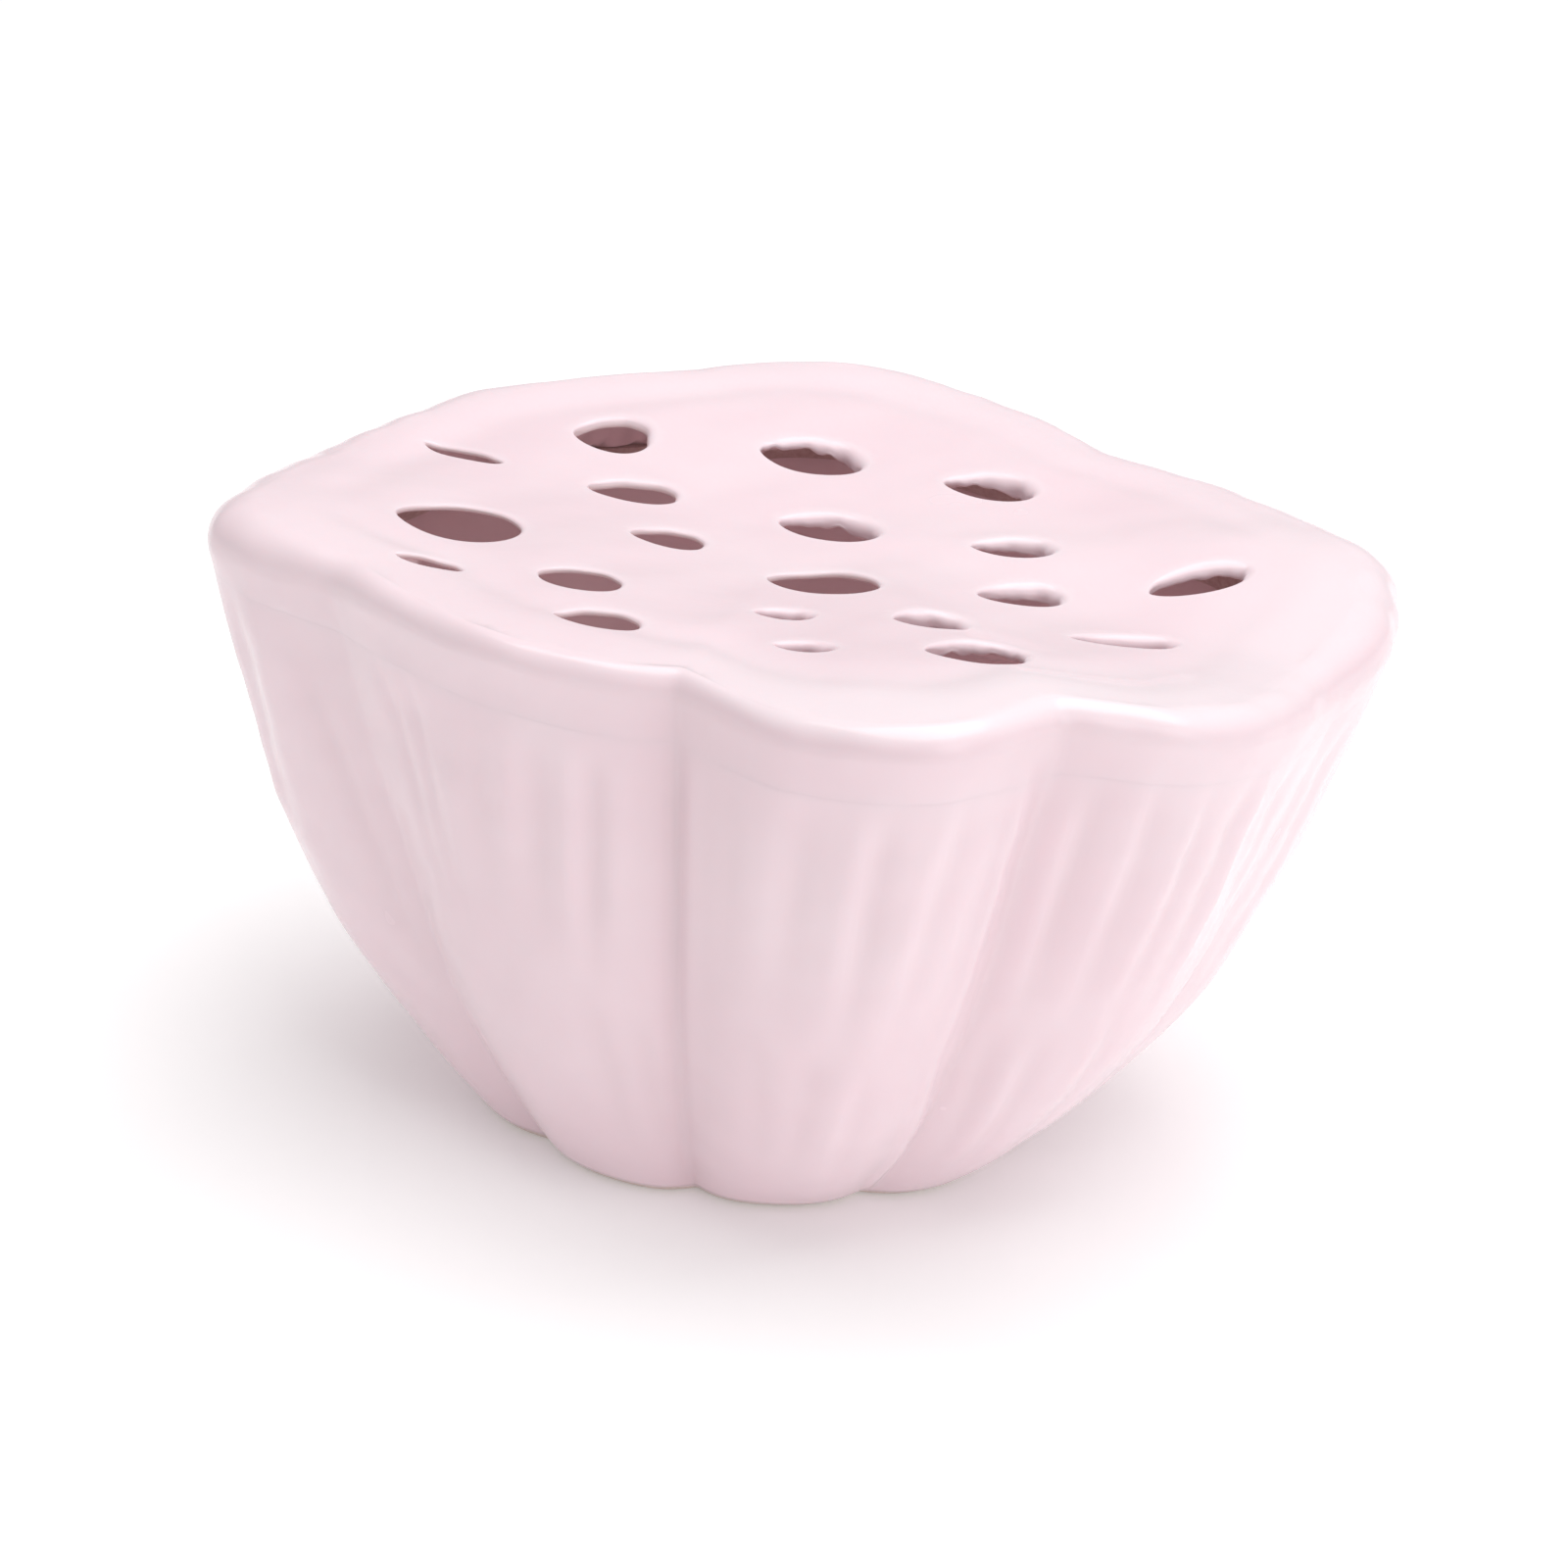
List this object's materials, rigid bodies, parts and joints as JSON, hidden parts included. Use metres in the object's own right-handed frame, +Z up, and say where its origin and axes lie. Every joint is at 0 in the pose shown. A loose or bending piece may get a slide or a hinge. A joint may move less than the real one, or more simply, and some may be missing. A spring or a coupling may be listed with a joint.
{
  "type": "flower frog",
  "caption": "Ceramic flower frog shaped like a lotus seed pod: a hollow fluted cup on a small foot, closed by a dished seed plate pierced with oval stem holes.",
  "frame": {"origin": "on the ground, under the middle of the pod's box", "axes": "+X to the right along the pod's greatest width, +Y away from the front, +Z up out of the seed plate"},
  "size_m": [0.1436, 0.1324, 0.075],
  "materials": {
    "pink_glaze": "glossy pale pink glaze",
    "bare_clay": "matte fired clay"
  },
  "bodies": {
    "root": {"pod_cup": "pink_glaze", "seed_plate": "pink_glaze", "luting_coil": "bare_clay"}
  },
  "joints": []
}
